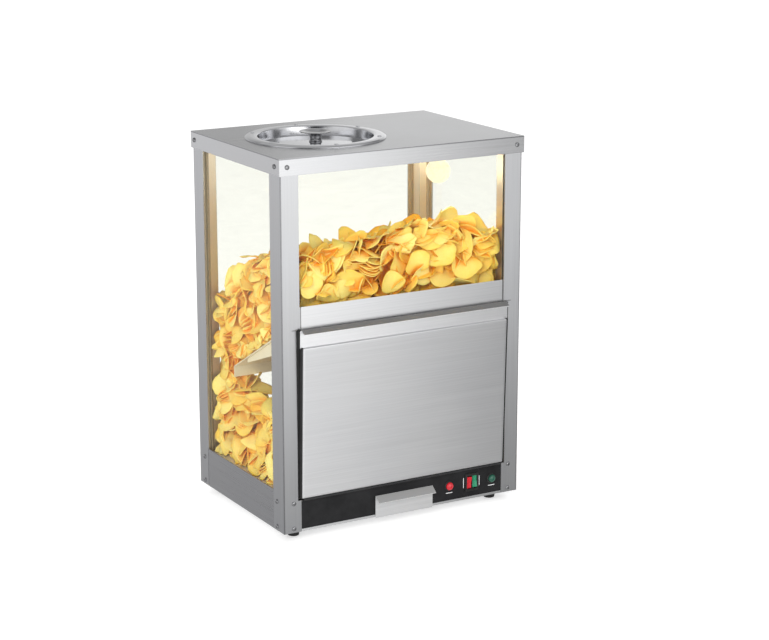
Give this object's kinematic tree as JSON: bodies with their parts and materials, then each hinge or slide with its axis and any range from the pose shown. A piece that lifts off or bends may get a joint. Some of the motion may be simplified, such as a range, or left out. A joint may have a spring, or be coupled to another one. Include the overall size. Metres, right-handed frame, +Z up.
{
  "type": "nacho chip warmer",
  "caption": "Counter-top glass cabinet that keeps nacho chips warm: filled through a roof lid, emptied through a bottom-hinged front flap, with a crumb drawer.",
  "frame": {"origin": "centre of the overall box's underside, on the surface that the feet stand on", "axes": "+Z up, -Y is the front with the flap and the controls, +X to the right seen from the front"},
  "size_m": [0.4628, 0.3422, 0.6472],
  "materials": {
    "steel": "brushed stainless sheet",
    "fastener_steel": "plain machined steel",
    "chrome": "polished",
    "clear_glass": "clear tempered",
    "lamp_glass": "opal, warm",
    "ceramic": "glazed ceramic",
    "heater_metal": "heat-darkened tube",
    "black_panel": "satin black",
    "black_hinge": "black oxide",
    "black_plastic": "semi-gloss moulded",
    "white_plastic": "moulded",
    "cable_jacket": "silicone jacket",
    "red_plastic": "translucent red",
    "green_plastic": "translucent green",
    "rubber": "black rubber",
    "magnet": "ferrite"
  },
  "bodies": {
    "root": {"base_pan": "steel", "front_left_post": "steel", "front_right_post": "steel", "rear_left_post": "steel", "rear_right_post": "steel", "left_lower_panel": "steel", "right_lower_panel": "steel", "rear_lower_panel": "steel", "front_rail": "steel", "roof_cap": "steel", "front_glass": "clear_glass", "left_glass": "clear_glass", "right_glass": "clear_glass", "rear_glass": "clear_glass", "glass_retainers": "steel", "deflector_shelf": "steel", "shelf_brackets": "steel", "bin_floor": "steel", "bay_walls": "steel", "tray_runners": "steel", "heater_elements": "heater_metal", "heater_saddles": "steel", "thermostat": "black_plastic", "terminal_block": "white_plastic", "lamp_bracket": "steel", "lamp_holder": "ceramic", "lamp_bulb": "lamp_glass", "lamp_cable": "cable_jacket", "control_panel": "black_panel", "switch_housing": "black_plastic", "indicator_bezels": "black_plastic", "red_lens": "red_plastic", "green_lens": "green_plastic", "feet": "rubber", "foot_screws": "fastener_steel", "cap_screws": "fastener_steel", "post_screws": "fastener_steel", "power_inlet": "black_plastic", "door_seal": "rubber", "catch_magnets": "magnet", "hinge_fixed_leaf": "black_hinge", "hinge_pin": "black_hinge", "fill_collar": "chrome", "collar_ledge": "chrome", "collar_rivets": "chrome"},
    "door": {"hinge_moving_leaf": "black_hinge", "door_inner": "steel", "door_outer": "steel", "door_gasket": "rubber"},
    "crumb_drawer": {"crumb_tray": "steel", "tray_handle": "steel"},
    "lid": {"fill_lid": "chrome", "lid_knob": "chrome", "knob_screw": "fastener_steel"},
    "red_switch": {"red_rocker": "red_plastic"},
    "green_switch": {"green_rocker": "green_plastic"}
  },
  "joints": [
    {"name": "door_hinge", "type": "hinge", "parent": "root", "child": "door", "pos_m": [0, -0.15421, 0.0716], "axis": [1, 0, 0], "range_deg": [0, 88]},
    {"name": "drawer_slide", "type": "slide", "parent": "root", "child": "crumb_drawer", "axis": [0, -1, 0], "range_m": [0, 0.29]},
    {"name": "lid_lift", "type": "slide", "parent": "root", "child": "lid", "axis": [0, 0, 1], "range_m": [0, 0.12]},
    {"name": "red_rocker_tip", "type": "hinge", "parent": "root", "child": "red_switch", "pos_m": [0.134, -0.14732, 0.047], "axis": [1, 0, 0], "range_deg": [-14, 0]},
    {"name": "green_rocker_tip", "type": "hinge", "parent": "root", "child": "green_switch", "pos_m": [0.134, -0.14732, 0.047], "axis": [1, 0, 0], "range_deg": [0, 14]}
  ]
}
